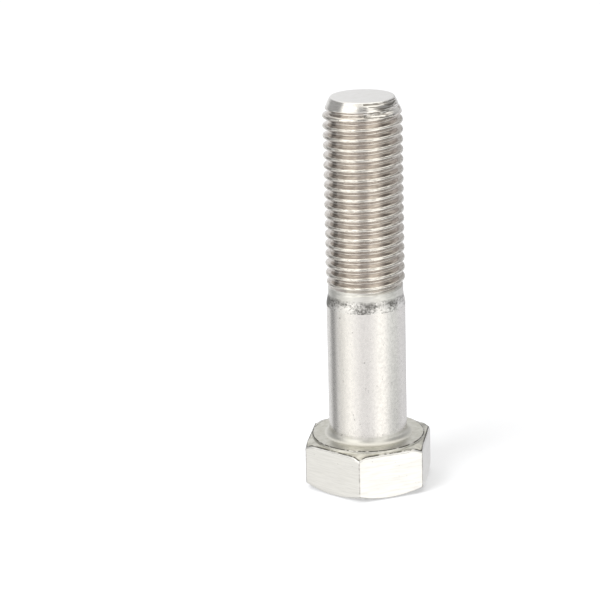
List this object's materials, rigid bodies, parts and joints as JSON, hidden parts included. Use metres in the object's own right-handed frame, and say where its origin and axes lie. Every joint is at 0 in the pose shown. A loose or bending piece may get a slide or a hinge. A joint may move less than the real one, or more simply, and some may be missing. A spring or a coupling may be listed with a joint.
{
  "type": "hex bolt",
  "caption": "Hexagon head bolt with a washer face, a plain shank and a right-hand coarse thread with a chamfered point.",
  "frame": {"origin": "centre of the bearing face, the ring under the head that clamps the work", "axes": "+Z along the shank from the head to the threaded end; two corners of the hexagon lie on the X axis, so two flats face +Y and -Y"},
  "size_m": [0.0276, 0.0238, 0.08],
  "materials": {
    "stainless": "satin, pickled and rolled stainless steel"
  },
  "bodies": {
    "root": {"hex_bolt": "stainless"}
  },
  "joints": []
}
